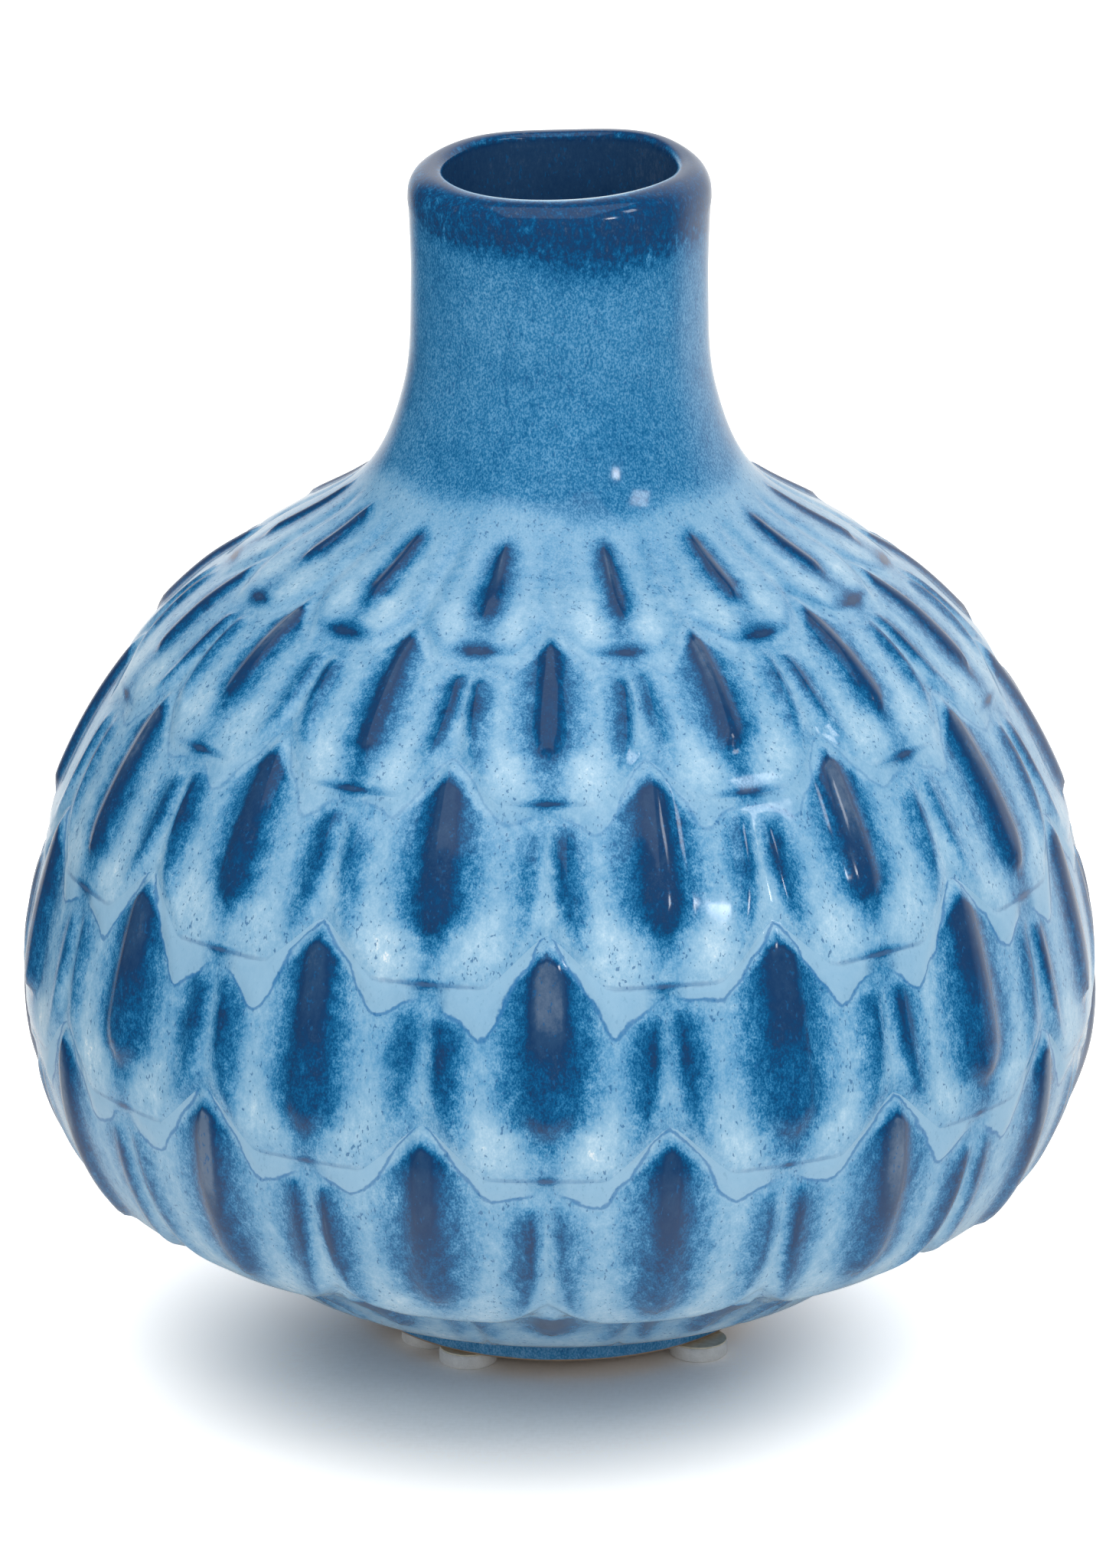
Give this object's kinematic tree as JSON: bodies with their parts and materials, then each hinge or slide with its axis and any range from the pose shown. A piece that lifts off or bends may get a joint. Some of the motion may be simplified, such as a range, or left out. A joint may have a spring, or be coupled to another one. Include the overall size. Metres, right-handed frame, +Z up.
{
  "type": "bud vase",
  "caption": "Squat round bud vase with a narrow straight neck, overlapping ribbed petals in relief and a hollow body, standing on small felt bumpers.",
  "frame": {"origin": "on the vase's axis, on the surface that its bumpers stand on", "axes": "+Z up along the vase's axis, -Y towards the front"},
  "size_m": [0.145, 0.1458, 0.1626],
  "materials": {
    "glaze": "glossy reactive glaze, pale blue where it pools and navy where it thins over the ridges",
    "felt": "pressed white felt",
    "adhesive": "translucent adhesive film"
  },
  "bodies": {
    "root": {"vase_body": "glaze", "felt_pad_front_left": "felt", "felt_pad_front_right": "felt", "felt_pad_left": "felt", "felt_pad_back": "felt", "adhesive_disc_front_left": "adhesive", "adhesive_disc_front_right": "adhesive", "adhesive_disc_left": "adhesive", "adhesive_disc_back": "adhesive"}
  },
  "joints": []
}
